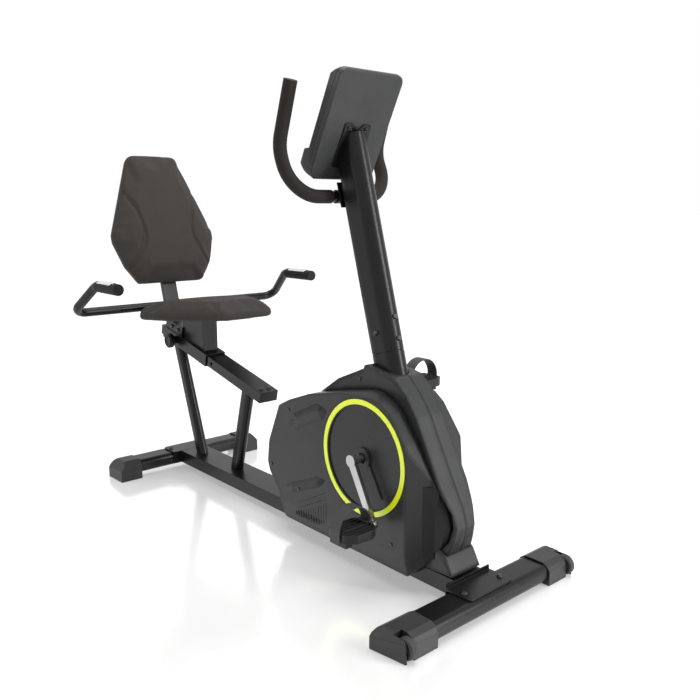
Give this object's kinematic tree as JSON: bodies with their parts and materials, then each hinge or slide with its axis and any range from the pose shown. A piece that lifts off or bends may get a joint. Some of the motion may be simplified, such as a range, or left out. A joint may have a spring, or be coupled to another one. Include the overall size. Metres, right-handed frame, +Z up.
{
  "type": "recumbent exercise bike",
  "caption": "Recumbent exercise bike with a sliding seat and backrest, a cased flywheel drive with cranks and strapped pedals, and a leaning mast that carries a handlebar and console.",
  "frame": {"origin": "on the floor, below the middle of the bike's length and width", "axes": "+X towards the console end, +Y to the seated rider's left, +Z up"},
  "size_m": [1.5603, 0.7564, 1.1868],
  "materials": {
    "alloy": "satin",
    "bare_steel": "machined",
    "black_plastic": "matte moulding",
    "black_steel": "satin powder coat",
    "cushion": "matte coated cloth",
    "dark_plastic": "fine grained moulding",
    "foam": "closed-cell foam sleeve",
    "plate": "polished contact plate",
    "ring": "gloss",
    "rubber": "matte rubber",
    "screen": "gloss window",
    "tyre": "matte",
    "zinc": "dark zinc"
  },
  "bodies": {
    "frame": {"main_rail": "black_steel", "front_stabiliser": "black_steel", "back_stabiliser": "black_steel", "front_caps": "dark_plastic", "back_caps": "dark_plastic", "frame_bolts": "zinc", "wheel_axles": "bare_steel", "front_post": "black_steel", "back_post": "black_steel", "slide_rail": "black_steel", "slide_rail_caps": "black_plastic", "mast_lower": "black_steel", "mast_upper": "black_steel", "bottom_bracket": "black_steel", "crank_bearings": "bare_steel", "flywheel_brackets": "black_steel", "flywheel_axle": "bare_steel", "panel_right": "dark_plastic", "panel_left": "dark_plastic", "cover_right": "dark_plastic", "cover_left": "dark_plastic", "front_boot": "dark_plastic", "disc_covers": "dark_plastic", "accent_rings": "ring", "cover_screws": "zinc", "handlebar": "black_steel", "handlebar_grips": "foam", "handlebar_clamp": "black_steel", "console_back": "dark_plastic", "console_face": "dark_plastic", "console_lens": "screen", "console_bracket": "black_steel", "drive_belt": "rubber"},
    "seat": {"carriage": "black_steel", "seat_base": "black_steel", "seat_cushion": "cushion", "backrest_post": "black_steel", "backrest_shell": "dark_plastic", "back_cushion": "cushion", "seat_handlebar": "black_steel", "seat_grips": "foam", "pulse_plates": "plate", "seat_bolts": "zinc"},
    "lock_knob": {"lock_knob": "black_plastic"},
    "crank": {"crank_axle": "bare_steel", "drive_pulley": "black_plastic", "crank_arms": "alloy", "pedal_spindles": "alloy"},
    "pedal_right": {"pedal_right": "black_plastic", "strap_right": "rubber"},
    "pedal_left": {"pedal_left": "black_plastic", "strap_left": "rubber"},
    "flywheel": {"flywheel": "bare_steel", "flywheel_pulley": "bare_steel"},
    "wheel_right": {"wheel_right": "tyre"},
    "wheel_left": {"wheel_left": "tyre"},
    "brake_arm": {"brake_arm": "bare_steel"},
    "mode_button": {"mode_button": "rubber"},
    "set_button": {"set_button": "rubber"},
    "reset_button": {"reset_button": "rubber"}
  },
  "joints": [
    {"name": "seat_slide", "type": "slide", "parent": "frame", "child": "seat", "axis": [0.9744, 0, -0.225], "range_m": [0, 0.22]},
    {"name": "lock_pull", "type": "slide", "parent": "seat", "child": "lock_knob", "axis": [0, -1, 0], "range_m": [-0.004, 0.006], "stiffness_N_per_m": 900, "springref_m": -0.006},
    {"name": "flywheel_spin", "type": "hinge", "parent": "frame", "child": "flywheel", "pos_m": [0.21269, 0, 0.237], "axis": [0, 1, 0], "continuous": true},
    {"name": "crank_turn", "type": "hinge", "parent": "frame", "child": "crank", "pos_m": [0.42669, 0, 0.292], "axis": [0, 1, 0], "continuous": true},
    {"name": "pedal_right_turn", "type": "hinge", "parent": "crank", "child": "pedal_right", "pos_m": [0.49922, -0.184, 0.15842], "axis": [0, 1, 0], "continuous": true},
    {"name": "pedal_left_turn", "type": "hinge", "parent": "crank", "child": "pedal_left", "pos_m": [0.35417, 0.184, 0.42558], "axis": [0, 1, 0], "continuous": true},
    {"name": "brake_swing", "type": "hinge", "parent": "frame", "child": "brake_arm", "pos_m": [0.15069, 0, 0.345], "axis": [0, 1, 0], "range_deg": [0, 6], "stiffness_Nm_per_rad": 2, "springref_deg": -11.46},
    {"name": "wheel_right_spin", "type": "hinge", "parent": "frame", "child": "wheel_right", "pos_m": [0.7577, -0.272, 0.026], "axis": [0, 1, 0], "continuous": true},
    {"name": "wheel_left_spin", "type": "hinge", "parent": "frame", "child": "wheel_left", "pos_m": [0.7577, 0.272, 0.026], "axis": [0, 1, 0], "continuous": true},
    {"name": "mode_press", "type": "slide", "parent": "frame", "child": "mode_button", "axis": [0.891, 0, -0.454], "range_m": [0, 0.0015], "stiffness_N_per_m": 400, "springref_m": -0.0005},
    {"name": "set_press", "type": "slide", "parent": "frame", "child": "set_button", "axis": [0.891, 0, -0.454], "range_m": [0, 0.0015], "stiffness_N_per_m": 400, "springref_m": -0.0005},
    {"name": "reset_press", "type": "slide", "parent": "frame", "child": "reset_button", "axis": [0.891, 0, -0.454], "range_m": [0, 0.0015], "stiffness_N_per_m": 400, "springref_m": -0.0005}
  ],
  "couplings": [
    {"joint": "crank_turn", "follows": "flywheel_spin", "ratio": 0.125}
  ]
}
